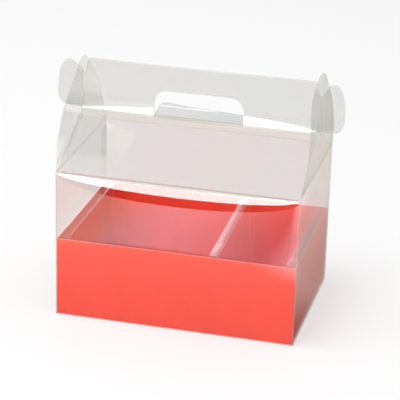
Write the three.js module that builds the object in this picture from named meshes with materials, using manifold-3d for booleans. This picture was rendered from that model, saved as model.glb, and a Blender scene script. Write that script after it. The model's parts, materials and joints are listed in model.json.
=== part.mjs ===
// A clear carrier box with a gable top, a coloured card tray and a folded clear insert.
// Millimetres, +Z up. The origin is the middle of the base, on the surface the box stands on.
// X runs along the handle. The front, where the finger flap is cut, faces -Y.
import * as THREE from "three";
import { mergeVertices } from "three/addons/utils/BufferGeometryUtils.js";
import Module from "manifold-3d";

// Clear sleeve
const boxWidth = 220; // outside, along the handle
const boxDepth = 150; // outside, front to back
const wallHeight = 138; // table to the creases under the roof and the fins
const sheet = 0.5; // thickness of the clear sheet
const seam = 0.05; // between sheets that lie against each other
const creaseGap = 0.4; // a turning panel stops this short of its crease
const wallTopGap = 0.5; // the walls stop this far under their top creases
const glueFlapWidth = 15;
const glueFlapInset = 6; // the glue flap's ends stay this far from the creases

// The front and back walls bow out under their top creases, most in the middle of their length
const bowReach = 3.5; // how far the middle stands out
const bowPeak = 20; // from the crease down to where it stands out most
const bowColumns = 12;
const bowRows = 10;

// Gable roof and handle
const roofRise = 36; // from the walls' top to the handle's crease
const roofEndGap = 0.5; // between the roof's ends and the fins
const handleSpread = 3.5; // between the outer faces of the two handle panels
const handleHeight = 47; // above its crease
const handleTopInset = 4.5; // from the plane of a side wall to the handle's top corner
const notchHeight = 33.5; // flat bottom of the V notch that hooks under the fin's bridge
const notchFloor = 0.3; // how far that flat runs out past the fin

// Hand hole and its flap
const holeWidth = 83;
const holeHeight = 24;
const holeRadius = 12;
const flapGap = 0.4; // all round the flap in its hole
const flapRise = THREE.MathUtils.degToRad(9); // the folded flap rests this far above level

// Ears, measured from the plane of the side wall and from the handle's crease
const earReach = 22;
const earBottom = 1.5;
const earTop = 46;
const earFoot = 9; // length of the round lower corner
const earCrown = 10.5; // from the tip back to the ear's highest point

// Fins, the arched tops of the side walls
const finHeight = 90;
const finShoulderInset = 18; // from the wall's edge to the end of the straight side
const finShoulderHeight = 34;
const finCrownHalf = 27; // half width where the arch turns over
const finCrownDrop = 9;
const slotSideGap = 0.5; // between an ear and the side of its slot
const slotEndGap = 0.5; // above the notch, and added to the ear's height

// Bottom, four flaps locked into each other
const mainFlapReach = 96; // how far the front and back flaps come in from their walls
const sideFlapReach = 62;
const sideFlapTaper = 12;
const flapSideGap = 1.5; // from a flap's edge to the next wall
const tongueWidth = 60;
const tongueLength = 16;
const tongueSlotGap = 0.6;
const tongueRamp = 2.5; // length of the tongue's slope through the slot

// Card tray
const board = 0.8;
const trayGap = 0.8; // between the sleeve and the tray
const trayHeight = 74; // table to the tray's top edge
const tabWidth = 20;
const tabTopInset = 3;
const tabTaper = 4;

// Folded insert
const insertGap = 0.4; // between the tray's side walls and the insert
const insertEndGap = 6; // between the tray's front or back wall and the insert
const insertRise = 1; // the ridges stand this far above the tray's top edge
const leftRidgeWidth = 9;
const rightRidgeWidth = 8;
const dividerWidth = 8;
const rightCompartmentWidth = 61;

// Places that follow from the sizes
const halfWidth = boxWidth / 2;
const halfDepth = boxDepth / 2;
const roofHalf = halfWidth - sheet - roofEndGap;
const creaseIn = handleSpread / 2; // from the middle to the outer face of a handle panel
const roofLength = Math.hypot(halfDepth - creaseIn, roofRise);
const roofSlope = Math.atan2(roofRise, halfDepth - creaseIn);
const quarterTurn = Math.PI / 2;
const trayHalfWidth = halfWidth - sheet - trayGap;
const trayHalfDepth = halfDepth - sheet - trayGap;
const curveSteps = 8;

const clearFinish = { color: 0xe4e4e1, roughness: 0.08, metalness: 0, transparent: true, opacity: 0.35 };
const earFinish = { color: 0xd8d8d4, roughness: 0.1, metalness: 0, transparent: true, opacity: 0.45 };
const cardFinish = { color: 0xfb5a49, roughness: 0.38, metalness: 0 };
const insertFinish = { color: 0xf3dcdc, roughness: 0.1, metalness: 0, transparent: true, opacity: 0.35 };

const wasm = await Module();
wasm.setup();

const box = new THREE.Group();

function addMesh(parent, name, geometry, finish) {
  const mesh = new THREE.Mesh(geometry, new THREE.MeshStandardMaterial(finish));
  mesh.name = name;
  parent.add(mesh);
  return mesh;
}

// A flat panel cut to an outline. Its outer face is at z = 0 and its thickness lies behind it.
function addPanel(parent, name, outline, thickness, finish) {
  const geometry = new THREE.ExtrudeGeometry(outline, {
    depth: thickness,
    bevelEnabled: false,
    curveSegments: curveSteps,
  });
  geometry.translate(0, 0, -thickness);
  return addMesh(parent, name, geometry, finish);
}

// How far a bowed wall stands out of its plane, at x along it and y up it.
// It shrinks to nothing at the wall's two ends, and eases back to the plane by the wall's foot.
function bowOut(x, y) {
  const share = Math.sqrt(Math.max(0, 1 - (x / halfWidth) ** 2));
  const down = wallHeight - y;
  const peak = bowPeak * share;
  if (down < peak) return bowReach * share * (1 - (1 - down / peak) ** 3);
  const back = (down - peak) / (wallHeight - peak);
  return bowReach * share * (1 + Math.cos(Math.PI * back)) / 2;
}

// A bowed sheet of the given half length and height, as a grid of points on each of its faces.
// The columns crowd towards the ends and the rows towards the top, where the bow is steepest.
function bowedSheetGeometry(half, height) {
  const points = [];
  for (const depth of [0, -sheet]) {
    for (let row = 0; row <= bowRows; row += 1) {
      const y = height * Math.sin((quarterTurn * row) / bowRows);
      for (let column = 0; column <= bowColumns; column += 1) {
        const x = -half * Math.cos((Math.PI * column) / bowColumns);
        points.push(x, y, bowOut(x, y) + depth);
      }
    }
  }
  const width = bowColumns + 1;
  const face = width * (bowRows + 1);
  const index = [];
  const addQuad = (a, b, c, d) => index.push(a, b, c, a, c, d);
  for (let row = 0; row < bowRows; row += 1) {
    for (let column = 0; column < bowColumns; column += 1) {
      const at = row * width + column;
      addQuad(at, at + 1, at + 1 + width, at + width);
      addQuad(face + at + width, face + at + 1 + width, face + at + 1, face + at);
    }
  }
  const topRow = bowRows * width;
  for (let column = 0; column < bowColumns; column += 1) {
    addQuad(face + column, face + column + 1, column + 1, column);
    const at = topRow + column;
    addQuad(at, at + 1, face + at + 1, face + at);
  }
  for (let row = 0; row < bowRows; row += 1) {
    const left = row * width;
    const right = left + bowColumns;
    addQuad(face + left, left, left + width, face + left + width);
    addQuad(right, face + right, face + right + width, right + width);
  }
  const geometry = new THREE.BufferGeometry();
  geometry.setAttribute("position", new THREE.Float32BufferAttribute(points, 3));
  geometry.setIndex(index);
  const flat = geometry.toNonIndexed();
  flat.computeVertexNormals();
  return flat;
}

// A flat-sided block between two opposite corners.
function blockGeometry(low, high) {
  const size = high.map((value, axis) => value - low[axis]);
  const geometry = new THREE.BoxGeometry(...size);
  geometry.translate(...high.map((value, axis) => (value + low[axis]) / 2));
  return geometry;
}

function polygon(points) {
  return new THREE.Shape(points.map(([x, y]) => new THREE.Vector2(x, y)));
}

function rectangle(x0, x1, y0, y1) {
  return polygon([[x0, y0], [x1, y0], [x1, y1], [x0, y1]]);
}

function solidOf(geometry) {
  const bare = geometry.clone();
  bare.deleteAttribute("normal");
  bare.deleteAttribute("uv");
  const merged = mergeVertices(bare, 1e-4);
  const mesh = new wasm.Mesh({
    numProp: 3,
    vertProperties: merged.attributes.position.array,
    triVerts: new Uint32Array(merged.index.array),
  });
  return new wasm.Manifold(mesh);
}

function geometryOf(solid) {
  const mesh = solid.getMesh();
  const geometry = new THREE.BufferGeometry();
  geometry.setAttribute("position", new THREE.BufferAttribute(mesh.vertProperties, 3));
  geometry.setIndex(new THREE.BufferAttribute(mesh.triVerts, 1));
  const flat = geometry.toNonIndexed();
  flat.computeVertexNormals();
  return flat;
}

// A frame on one side of the box: x along the side, y up it and z out of it.
// A turn of 0 is the front, a quarter turn the right side, and so on round.
function sideFrame(turn, distance, height) {
  const turned = new THREE.Group();
  const frame = new THREE.Group();
  turned.rotation.z = turn;
  frame.position.set(0, -distance, height);
  frame.rotation.x = quarterTurn;
  turned.add(frame);
  box.add(turned);
  return frame;
}

// A frame that continues another past a crease, folded back by an angle.
function foldedFrame(parent, height, angle) {
  const frame = new THREE.Group();
  frame.position.y = height;
  frame.rotation.x = angle;
  parent.add(frame);
  return frame;
}

const sides = {
  front: { turn: 0, distance: halfDepth, half: halfWidth },
  right: { turn: quarterTurn, distance: halfWidth, half: halfDepth - sheet - seam },
  back: { turn: 2 * quarterTurn, distance: halfDepth, half: halfWidth },
  left: { turn: -quarterTurn, distance: halfWidth, half: halfDepth - sheet - seam },
};

// Walls of the sleeve, and the flap that glues the sleeve shut inside its back left edge
function addSleeve() {
  const wallTop = wallHeight - wallTopGap;
  for (const [name, side] of Object.entries(sides)) {
    const frame = sideFrame(side.turn, side.distance, 0);
    if (name === "front" || name === "back") {
      addMesh(frame, `${name}_wall`, bowedSheetGeometry(side.half, wallTop), clearFinish);
    } else {
      addPanel(frame, `${name}_wall`, rectangle(-side.half, side.half, 0, wallTop), sheet, clearFinish);
    }
  }
  const inside = halfWidth - sheet - seam;
  const glueFrame = sideFrame(sides.left.turn, inside, 0);
  const corner = -(halfDepth - sheet - seam);
  const outline = rectangle(corner, corner + glueFlapWidth, glueFlapInset, wallTop - glueFlapInset);
  addPanel(glueFrame, "glue_flap", outline, sheet, clearFinish);
}

// Bottom flaps, from the outermost layer up: back flap, side flaps, front flap, tongue
const layer = sheet + seam;
function addBottom() {
  const innerWidth = halfWidth - sheet - flapSideGap;
  const innerDepth = halfDepth - sheet - seam;
  const backEdge = innerDepth - mainFlapReach;
  const backPlate = blockGeometry([-innerWidth, backEdge, 0], [innerWidth, innerDepth, sheet]);

  // The tongue starts inside the back flap, climbs through the front flap's slot and lies on it.
  const lap = 2 * sheet;
  const rampEnd = backEdge - tongueRamp;
  const lift = 3 * layer;
  const tongueProfile = polygon([
    [backEdge + lap, 0],
    [backEdge + lap, sheet],
    [backEdge, sheet],
    [rampEnd, lift + sheet],
    [rampEnd - tongueLength, lift + sheet],
    [rampEnd - tongueLength, lift],
    [rampEnd, lift],
    [backEdge, 0],
  ]);
  const tongue = new THREE.ExtrudeGeometry(tongueProfile, { depth: tongueWidth, bevelEnabled: false });
  // The profile's x and y become Y and Z, and its depth becomes X.
  tongue.rotateX(quarterTurn);
  tongue.rotateZ(quarterTurn);
  tongue.translate(-tongueWidth / 2, 0, 0);
  const backFlap = geometryOf(solidOf(backPlate).add(solidOf(tongue)));
  addMesh(box, "bottom_back_flap", backFlap, clearFinish);

  const sideInner = halfDepth - sheet - flapSideGap;
  for (const name of ["left", "right"]) {
    const outline = polygon([
      [-sideInner, 0],
      [sideInner, 0],
      [sideInner - sideFlapTaper, sideFlapReach],
      [-sideInner + sideFlapTaper, sideFlapReach],
    ]);
    const side = sides[name];
    const wall = sideFrame(side.turn, side.distance - sheet - seam, layer + sheet);
    addPanel(foldedFrame(wall, 0, -quarterTurn), `bottom_${name}_flap`, outline, sheet, clearFinish);
  }

  const front = sides.front;
  const frontWall = sideFrame(front.turn, front.distance - sheet - seam, 2 * layer + sheet);
  const frontOutline = rectangle(-innerWidth, innerWidth, 0, mainFlapReach);
  const slotMiddle = innerDepth + backEdge - tongueRamp / 2;
  const slotHalfLength = tongueRamp / 2 + tongueSlotGap;
  const slotHalfWidth = tongueWidth / 2 + tongueSlotGap;
  const slot = rectangle(
    -slotHalfWidth,
    slotHalfWidth,
    slotMiddle - slotHalfLength,
    slotMiddle + slotHalfLength,
  );
  frontOutline.holes.push(slot);
  const frontFlap = foldedFrame(frontWall, 0, -quarterTurn);
  addPanel(frontFlap, "bottom_front_flap", frontOutline, sheet, clearFinish);
}

// Outline of the hand hole's top and sides, from its lower left corner to its lower right one
function traceHole(path, half, top, radius, start) {
  path.lineTo(-half, start);
  path.lineTo(-half, top - radius);
  path.absarc(-half + radius, top - radius, radius, Math.PI, quarterTurn, true);
  path.absarc(half - radius, top - radius, radius, quarterTurn, 0, true);
  path.lineTo(half, start);
}

function handleOutline() {
  const cornerX = halfWidth - handleTopInset;
  const outline = new THREE.Shape();
  outline.moveTo(-roofHalf, 0);
  traceHole(outline, holeWidth / 2, holeHeight, holeRadius, 0);
  outline.lineTo(roofHalf, 0);
  outline.lineTo(roofHalf, notchHeight);
  outline.lineTo(cornerX, handleHeight);
  outline.lineTo(-cornerX, handleHeight);
  outline.lineTo(-roofHalf, notchHeight);
  return outline;
}

// Right ear, from its root inside the fin, through the slot and round its free edge
function earOutline() {
  const root = roofHalf + seam;
  const tip = halfWidth + earReach;
  const crown = tip - earCrown;
  const outline = new THREE.Shape();
  outline.moveTo(root, earBottom);
  outline.lineTo(tip - earFoot, earBottom);
  outline.bezierCurveTo(
    tip - earFoot * 0.4, earBottom,
    tip, earBottom + earFoot * 0.6,
    tip, earBottom + earFoot * 1.4,
  );
  outline.bezierCurveTo(tip, earTop - 16, tip - 2, earTop, crown, earTop);
  outline.bezierCurveTo(
    crown - 4.5, earTop,
    halfWidth + 4, earTop - 6,
    halfWidth + notchFloor, notchHeight,
  );
  outline.lineTo(root, notchHeight);
  return outline;
}

function mirrored(outline) {
  const points = outline.getPoints(curveSteps);
  return new THREE.Shape(points.map((p) => new THREE.Vector2(-p.x, p.y)).reverse());
}

// Roof panel, handle panel and ears of the front or the back half
function addTopHalf(name, leftName, rightName) {
  const wall = sideFrame(sides[name].turn, sides[name].distance, wallHeight);
  const roof = foldedFrame(wall, 0, roofSlope - quarterTurn);
  const roofOutline = rectangle(-roofHalf, roofHalf, creaseGap, roofLength - creaseGap);
  addPanel(roof, `${name}_roof`, roofOutline, sheet, clearFinish);

  const handle = foldedFrame(roof, roofLength, quarterTurn - roofSlope);
  addPanel(handle, `${name}_handle`, handleOutline(), sheet, clearFinish);
  addPanel(handle, `${name}_${rightName}_ear`, earOutline(), sheet, earFinish);
  addPanel(handle, `${name}_${leftName}_ear`, mirrored(earOutline()), sheet, earFinish);
  return roof;
}

// Finger flap, cut from the front hand hole and folded back through both panels
function addHandFlap(roof) {
  const half = holeWidth / 2 - flapGap;
  const outline = new THREE.Shape();
  outline.moveTo(half, creaseGap);
  traceHole(outline, half, holeHeight - flapGap, holeRadius - flapGap, creaseGap);
  const frame = foldedFrame(roof, roofLength, flapRise - roofSlope);
  addPanel(frame, "hand_flap", outline, sheet, clearFinish);
}

// Fin, an arched panel above a side wall, with the slot that the ears go through
function addFin(name) {
  const edge = halfDepth - sheet - seam;
  const shoulder = edge - finShoulderInset;
  const crownHeight = finHeight - finCrownDrop;
  const arch = [];
  const haunch = new THREE.CubicBezierCurve(
    new THREE.Vector2(shoulder, finShoulderHeight),
    new THREE.Vector2(shoulder - finShoulderInset / 3, finShoulderHeight + 18),
    new THREE.Vector2(finCrownHalf + 17, crownHeight - 13),
    new THREE.Vector2(finCrownHalf, crownHeight),
  );
  const crown = new THREE.CubicBezierCurve(
    new THREE.Vector2(finCrownHalf, crownHeight),
    new THREE.Vector2(finCrownHalf * 0.7, crownHeight + finCrownDrop * 0.67),
    new THREE.Vector2(finCrownHalf / 3, finHeight),
    new THREE.Vector2(0, finHeight),
  );
  arch.push(...haunch.getPoints(curveSteps), ...crown.getPoints(curveSteps).slice(1));
  const otherSide = arch.slice(0, -1).reverse();
  const outline = new THREE.Shape([
    new THREE.Vector2(-edge, 0),
    new THREE.Vector2(edge, 0),
    ...arch,
    ...otherSide.map((p) => new THREE.Vector2(-p.x, p.y)),
  ]);

  const slotHalf = handleSpread / 2 + slotSideGap;
  const slotTop = roofRise + notchHeight + slotEndGap;
  const slotBottom = slotTop - (earTop - earBottom) - slotEndGap;
  outline.holes.push(rectangle(-slotHalf, slotHalf, slotBottom, slotTop));

  const wall = sideFrame(sides[name].turn, sides[name].distance, wallHeight);
  addPanel(wall, `${name}_fin`, outline, sheet, clearFinish);
}

// Card tray: a floor, four walls and the corner tabs glued inside the front and back walls
const trayBase = 4 * layer; // it stands on the tongue of the bottom
function addTray() {
  const floorHalfWidth = trayHalfWidth - board - seam;
  const floorHalfDepth = trayHalfDepth - board - seam;
  const floor = blockGeometry(
    [-floorHalfWidth, -floorHalfDepth, trayBase],
    [floorHalfWidth, floorHalfDepth, trayBase + board],
  );
  addMesh(box, "tray_floor", floor, cardFinish);

  for (const [name, side] of Object.entries(sides)) {
    const long = name === "front" || name === "back";
    const half = long ? trayHalfWidth : floorHalfDepth;
    const distance = long ? trayHalfDepth : trayHalfWidth;
    const frame = sideFrame(side.turn, distance, trayBase);
    const outline = rectangle(-half, half, 0, trayHeight - trayBase);
    addPanel(frame, `tray_${name}_wall`, outline, board, cardFinish);
    if (!long) continue;
    const inner = sideFrame(side.turn, floorHalfDepth, trayBase);
    const root = floorHalfWidth;
    const end = root - tabWidth;
    const low = board + seam;
    const high = trayHeight - trayBase - tabTopInset;
    const tab = polygon([[root, low], [root, high], [end, high - tabTaper], [end, low + tabTaper]]);
    const [leftName, rightName] = name === "front" ? ["left", "right"] : ["right", "left"];
    const rightTab = new THREE.Shape(tab.getPoints().reverse());
    addPanel(inner, `tray_${name}_${rightName}_tab`, rightTab, board, cardFinish);
    addPanel(inner, `tray_${name}_${leftName}_tab`, mirrored(tab), board, cardFinish);
  }
}

// Insert, one clear sheet folded over a ridge at each end and over a divider between
function addInsert() {
  const bottom = trayBase + board + seam;
  const top = trayHeight + insertRise;
  const depth = 2 * (trayHalfDepth - board - insertEndGap);
  const end = trayHalfWidth - board - insertGap;

  function addRun(name, outline) {
    const geometry = new THREE.ExtrudeGeometry(outline, { depth, bevelEnabled: false });
    geometry.translate(0, 0, -depth / 2);
    geometry.rotateX(quarterTurn);
    addMesh(box, name, geometry, insertFinish);
  }
  function ridge(x0, x1) {
    return polygon([
      [x0, bottom],
      [x0 + sheet, bottom],
      [x0 + sheet, top - sheet],
      [x1 - sheet, top - sheet],
      [x1 - sheet, bottom],
      [x1, bottom],
      [x1, top],
      [x0, top],
    ]);
  }

  const leftEdge = -end + leftRidgeWidth;
  const rightEdge = end - rightRidgeWidth;
  const dividerRight = rightEdge - rightCompartmentWidth;
  const dividerLeft = dividerRight - dividerWidth;
  addRun("insert_left_ridge", ridge(-end, leftEdge));
  addRun("insert_left_floor", rectangle(leftEdge + seam, dividerLeft - seam, bottom, bottom + sheet));
  addRun("insert_divider", ridge(dividerLeft, dividerRight));
  addRun("insert_right_floor", rectangle(dividerRight + seam, rightEdge - seam, bottom, bottom + sheet));
  addRun("insert_right_ridge", ridge(rightEdge, end));
}

addSleeve();
addBottom();
addHandFlap(addTopHalf("front", "left", "right"));
addTopHalf("back", "right", "left");
addFin("left");
addFin("right");
addTray();
addInsert();

export default box;
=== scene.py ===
import json
import math
import bpy
import numpy as np
from mathutils import Matrix, Vector
from mathutils.geometry import delaunay_2d_cdt


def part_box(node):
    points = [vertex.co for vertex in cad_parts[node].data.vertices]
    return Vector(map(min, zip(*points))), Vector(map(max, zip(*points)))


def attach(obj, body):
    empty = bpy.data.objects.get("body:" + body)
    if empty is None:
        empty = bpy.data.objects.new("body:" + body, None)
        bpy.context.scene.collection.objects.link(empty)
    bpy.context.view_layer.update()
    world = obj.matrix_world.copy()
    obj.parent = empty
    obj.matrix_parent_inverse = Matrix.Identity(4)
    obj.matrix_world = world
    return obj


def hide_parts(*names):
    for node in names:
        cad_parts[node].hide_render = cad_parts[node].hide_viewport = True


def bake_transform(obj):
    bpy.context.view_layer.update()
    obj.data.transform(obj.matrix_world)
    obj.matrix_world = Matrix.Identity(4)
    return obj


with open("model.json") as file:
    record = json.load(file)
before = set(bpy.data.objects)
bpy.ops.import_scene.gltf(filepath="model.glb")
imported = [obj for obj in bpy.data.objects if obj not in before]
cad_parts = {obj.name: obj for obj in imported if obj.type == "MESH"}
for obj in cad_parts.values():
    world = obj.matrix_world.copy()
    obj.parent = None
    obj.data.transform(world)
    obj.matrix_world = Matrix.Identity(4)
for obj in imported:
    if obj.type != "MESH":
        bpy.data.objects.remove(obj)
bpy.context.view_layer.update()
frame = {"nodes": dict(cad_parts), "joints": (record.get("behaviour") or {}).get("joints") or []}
print("frame loaded,", len(frame["nodes"]), "nodes")

mm = 0.001
tiny = 1e-9
sheet = 0.5 * mm  # thickness of the clear sheet
white = (1, 1, 1, 1)
scene = bpy.context.scene
joints = {joint["name"]: joint for joint in frame["joints"]}


# Places that the whole box shares, read from the frame
def hingePoint(name):
    return Vector(joints[name]["pos_m"])


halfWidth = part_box("front_wall")[1].x
topCrease = -hingePoint("front_top_open").y  # half the depth of the box
wallTop = hingePoint("front_top_open").z
handleIn = -hingePoint("front_handle_fold").y  # outer face of a handle panel, from the middle
handleFoot = hingePoint("front_handle_fold").z
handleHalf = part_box("front_roof")[1].x
roofLength = math.hypot(topCrease - handleIn, handleFoot - wallTop)
roofSlope = math.atan2(handleFoot - wallTop, topCrease - handleIn)
slopeCos, slopeSin = math.cos(roofSlope), math.sin(roofSlope)


# A method that adds a Math node for a value and another one, in this order or swapped
def mathMethod(operation, swapped=False):
    def method(self, other=0.0):
        first, second = (other, self) if swapped else (self, other)
        return self.tree.node("Math", {"operation": operation}, {0: first, 1: second})
    return method


# A shader value that adds its own Math nodes when it is used in a sum or a product
class Value:
    __add__ = mathMethod("ADD")
    __radd__ = mathMethod("ADD", True)
    __sub__ = mathMethod("SUBTRACT")
    __rsub__ = mathMethod("SUBTRACT", True)
    __mul__ = mathMethod("MULTIPLY")
    __rmul__ = mathMethod("MULTIPLY", True)
    __truediv__ = mathMethod("DIVIDE")
    __pow__ = mathMethod("POWER")
    absolute = mathMethod("ABSOLUTE")
    exponent = mathMethod("EXPONENT")

    def __init__(self, tree, socket):
        self.tree = tree
        self.socket = socket

    # A smooth step from 0 below low to 1 above high; low may be the greater of the two
    def step(self, low, high):
        values = {"Value": self, "From Min": low, "From Max": high}
        settings = {"interpolation_type": "SMOOTHSTEP", "clamp": True}
        return self.tree.node("MapRange", settings, values, "Result")


# The nodes of one material or world
class Tree:
    def __init__(self, owner):
        owner.use_nodes = True
        self.tree = owner.node_tree
        self.tree.nodes.clear()

    # Adds a node: its settings first, then the values or links of its sockets
    def node(self, kind, settings=None, sockets=None, output=0):
        made = self.tree.nodes.new("ShaderNode" + kind)
        for name, value in (settings or {}).items():
            setattr(made, name, value)
        for name, value in (sockets or {}).items():
            if isinstance(value, Value):
                self.tree.links.new(value.socket, made.inputs[name])
            else:
                made.inputs[name].default_value = value
        return Value(self, made.outputs[output])

    def place(self, kind="Object"):
        return self.node("TexCoord", output=kind)

    # X, Y or Z of the point that is shaded, or of the direction in a world
    def axis(self, name, kind="Object"):
        return self.node("SeparateXYZ", {}, {0: self.place(kind)}, name)

    def noise(self, scale, detail, stretch=(1, 1, 1), turn=(0, 0, 0)):
        sockets = {"Vector": self.place(), "Rotation": turn, "Scale": stretch}
        spot = self.node("Mapping", {}, sockets)
        return self.node("TexNoise", {}, {"Vector": spot, "Scale": scale, "Detail": detail})

    def attribute(self, name):
        return self.node("Attribute", {"attribute_name": name}, output="Fac")

    def blend(self, share, first, second):
        return self.node("Mix", {"data_type": "RGBA"}, {0: share, 6: first, 7: second}, 2)

    def bump(self, height, distance):
        return self.node("Bump", {}, {"Height": height, "Distance": distance, "Strength": 1.0})

    # 1 for the camera's rays, for mirrored and for transmitted ones, and 0 for all others
    def seen(self):
        kinds = ("Is Camera Ray", "Is Glossy Ray", "Is Transmission Ray")
        camera, glossy, through = (self.node("LightPath", output=kind) for kind in kinds)
        return (camera + glossy + through).step(0.0, 1.0)

    def mixShaders(self, share, first, second):
        return self.node("MixShader", {}, {0: share, 1: first, 2: second})

    def output(self, surface, kind="OutputMaterial"):
        end = self.tree.nodes.new("ShaderNode" + kind)
        self.tree.links.new(surface.socket, end.inputs["Surface"])


clearLook = {
    "passes": (0.980, 0.979, 0.974, 1),  # what one face lets through
    "headOn": 0.046,  # share that one face mirrors of light that meets it head on
    "grow": 5,  # power by which that share grows towards the edge-on view
    "gloss": 0.02,  # roughness of the mirror
    "waves": {"scale": 16, "detail": 1.0, "turn": (0.4, 0.2, 0.7)},  # slow waves in the sheet
    "waveHeight": 0.00007,  # metres
    "scuffs": {"scale": 90, "detail": 3.0, "stretch": (1, 1, 14), "turn": (0.5, 0.9, 0.3)},
    "scuffEdge": (0.52, 0.72),  # values of that noise at which a scuff starts and is full
    "dust": {"scale": 1400, "detail": 1.0},
    "dustEdge": (0.62, 0.74),
    "haze": 0.005,  # share of the light that dust and fine scuffs scatter
    "hazeParts": (0.35, 0.9, 1.2),  # of the whole face, of its scuffs and of its dust
    "hazeShade": (0.86, 0.86, 0.85, 1),
    "hazeRough": (0.22, 0.2),  # of the whole face, and what a scuff adds
    "index": 1.5,
    # A cut edge is covered by a solid grey film: partly the cut's own frost, partly painted shade along it
    "rimShade": (0.50, 0.51, 0.49, 1),
    "rimCover": 0.42,  # how solid a cut edge looks
    "rimFade": 1.5,  # power by which that falls away from the edge
}


# Clear sheet: mostly see-through, a mirror that grows towards the edge-on view, and solid cut edges
def clearMaterial(name, look):
    made = bpy.data.materials.new(name)
    tree = Tree(made)
    normal = tree.bump(tree.noise(**look["waves"]), look["waveHeight"])
    facing = tree.node("LayerWeight", {}, {"Blend": 0.5, "Normal": normal}, "Facing")
    mirror = look["headOn"] + (1 - look["headOn"]) * facing ** look["grow"]
    scuffs = tree.noise(**look["scuffs"]).step(*look["scuffEdge"])
    dust = tree.noise(**look["dust"]).step(*look["dustEdge"])
    face, onScuff, onDust = look["hazeParts"]
    faceRough, scuffRough = look["hazeRough"]
    rim = tree.attribute("rim")
    film = look["haze"] * (face + onScuff * scuffs + onDust * dust)
    # the rim's solid film paints lines along cut edges, creases and folds
    film = film + look["rimCover"] * rim ** look["rimFade"]
    solid = tree.node("BsdfPrincipled", {}, {
        "Base Color": tree.blend(rim, look["hazeShade"], look["rimShade"]),
        "Roughness": faceRough + scuffRough * scuffs, "IOR": look["index"]})
    clear = tree.node("BsdfTransparent", {}, {"Color": look["passes"]})
    gloss = tree.node("BsdfAnisotropic", {}, {
        "Roughness": look["gloss"], "Normal": normal, "Color": white})
    body = tree.mixShaders(film, clear, solid)
    tree.output(tree.mixShaders(mirror, body, gloss))
    return made


cardLook = {
    "face": (0.93, 0.044, 0.0135, 1),
    "deep": 0.93,  # the mottling's darker shade, as a share of the face's
    "mottle": {"scale": 60, "detail": 3.0},
    "mottleEdge": (0.3, 0.7),
    "grain": {"scale": 2200, "detail": 2.0},
    "fibres": {"scale": 700, "detail": 3.0, "stretch": (1, 1, 6), "turn": (0.2, 0.1, 0.4)},
    "fibreHeight": 0.000012,  # metres
    "pale": (0.88, 0.36, 0.28, 1),  # paler colour along each board's rounded top edge
    "paleEdge": (0.55, 0.45),  # how much of a rim is pale, and what the grain adds
    "rough": (0.40, 0.10, 0.06),  # of the whole face, and what the grain and the mottling add
    "skin": {"IOR": 1.45, "Specular IOR Level": 0.3, "Coat Weight": 0.04, "Coat Roughness": 0.25},
}


# Coated card: an even saturated face with faint mottling and fibre, paler along the top edge of each board
def cardMaterial(look):
    made = bpy.data.materials.new("coralCard")
    tree = Tree(made)
    cloud, grain, fibre = (tree.noise(**look[name]) for name in ("mottle", "grain", "fibres"))
    deep = tuple(value * look["deep"] for value in look["face"][:3]) + (1,)
    tone = tree.blend(cloud.step(*look["mottleEdge"]), deep, look["face"])
    pale, grainPale = look["paleEdge"]
    paleEdge = tree.attribute("rim") * (pale + grainPale * grain)
    face, onGrain, onCloud = look["rough"]
    skin = tree.node("BsdfPrincipled", {}, {
        "Base Color": tree.blend(paleEdge, tone, look["pale"]),
        "Roughness": face + onGrain * grain + onCloud * cloud,
        "Normal": tree.bump(0.5 * grain + 0.5 * fibre, look["fibreHeight"]), **look["skin"]})
    tree.output(skin)
    return made


clearSheet = clearMaterial("clearSheet", clearLook)
# The insert's cut edges and upper folds get a pale pink film: painted highlight lines, pink with the coral
# seen through
foldedSheet = clearMaterial("insertSheet", {**clearLook, "haze": 0.04, "rimCover": 0.40,
                                            "rimShade": (0.92, 0.84, 0.85, 1)})
# The roof lets a little less through, with a pink cast: painted shade and painted reflection of the coral
# tray
roofPanel = clearMaterial("roofSheet", {**clearLook, "passes": (0.962, 0.948, 0.946, 1)})
finPanel = clearMaterial("finSheet", {**clearLook, "passes": (0.966, 0.966, 0.960, 1), "rimCover": 0.22})
# The left wall lets less through: painted shade for the greyer floor seen behind it
leftPanel = clearMaterial("leftWallSheet", {**clearLook, "passes": (0.930, 0.938, 0.938, 1), "grow": 7})
# The finger flap lets less through: painted shade for the grey it shows
flapSheet = clearMaterial("flapSheet", {**clearLook, "passes": (0.920, 0.920, 0.917, 1)})
# Creases and corner folds: their marked rows are painted solid pink-brown and the face hazier, as painted
# shade with the coral's reflection in the curl
creaseSheet = clearMaterial("creasedSheet", {**clearLook, "haze": 0.05, "rimShade": (0.46, 0.33, 0.31, 1),
                                             "rimCover": 0.70})
coralCard = cardMaterial(cardLook)
print("materials made")

sharpAngle = math.radians(35)


# Makes a mesh object from whole arrays of points and faces, with a rim share for each point
def addPiece(name, made, material):
    points, faces, rim = made
    mesh = bpy.data.meshes.new(name)
    mesh.from_pydata(points.tolist(), [], faces)
    mesh.attributes.new("rim", "FLOAT", "POINT").data.foreach_set("value", rim.astype(np.float32))
    mesh.polygons.foreach_set("use_smooth", np.ones(len(mesh.polygons), bool))
    mesh.set_sharp_from_angle(angle=sharpAngle)
    mesh.materials.append(material)
    mesh.update()
    piece = bpy.data.objects.new(name, mesh)
    scene.collection.objects.link(piece)
    return piece


# One direction, for as many points as x has
def pointing(direction, x):
    return np.tile(np.array(direction, float), (len(x), 1))


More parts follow.
